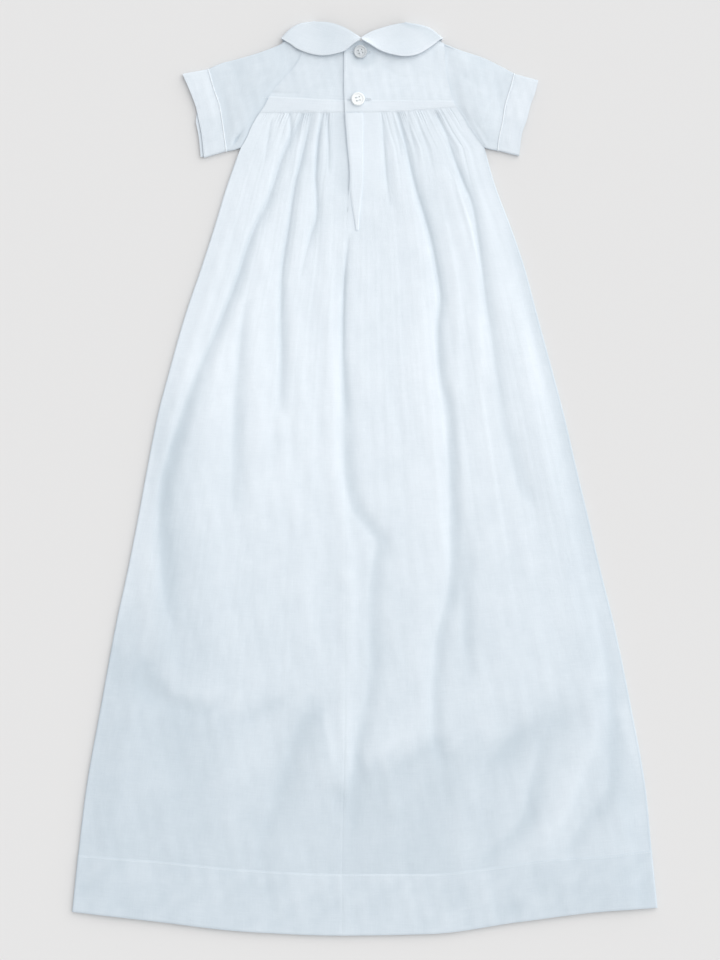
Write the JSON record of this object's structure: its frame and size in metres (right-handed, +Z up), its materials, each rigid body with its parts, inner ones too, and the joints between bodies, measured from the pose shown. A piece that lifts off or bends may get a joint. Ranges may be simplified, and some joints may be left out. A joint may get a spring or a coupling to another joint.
{
  "type": "baby gown",
  "caption": "Long white baby gown laid flat on its front, with a split round collar, short sleeves, a gathered skirt and a deep hem.",
  "frame": {"origin": "centre of the bounding box in plan, at the height of the surface the gown lies on", "axes": "+Y from the hem to the collar, +X to the right as the back of the gown is seen from above, +Z up from the surface"},
  "size_m": [0.4978, 0.7767, 0.0087],
  "materials": {
    "cotton": "matt white cotton lawn, fine plain weave, soft creases",
    "button": "white shell-like plastic, satin gloss"
  },
  "bodies": {
    "root": {"collar_left": "cotton", "collar_right": "cotton", "yoke_back_left": "cotton", "yoke_back_right": "cotton", "yoke_front": "cotton", "waist_strip_back_left": "cotton", "waist_strip_back_right": "cotton", "waist_strip_front": "cotton", "sleeve_left": "cotton", "sleeve_right": "cotton", "cuff_left": "cotton", "cuff_right": "cotton", "skirt_back_left": "cotton", "skirt_back_right": "cotton", "skirt_front": "cotton", "placket_overlap": "cotton", "placket_underlap": "cotton", "hem_back_left": "cotton", "hem_back_right": "cotton", "hem_front": "cotton", "button_neck": "button", "button_waist": "button"}
  },
  "joints": []
}
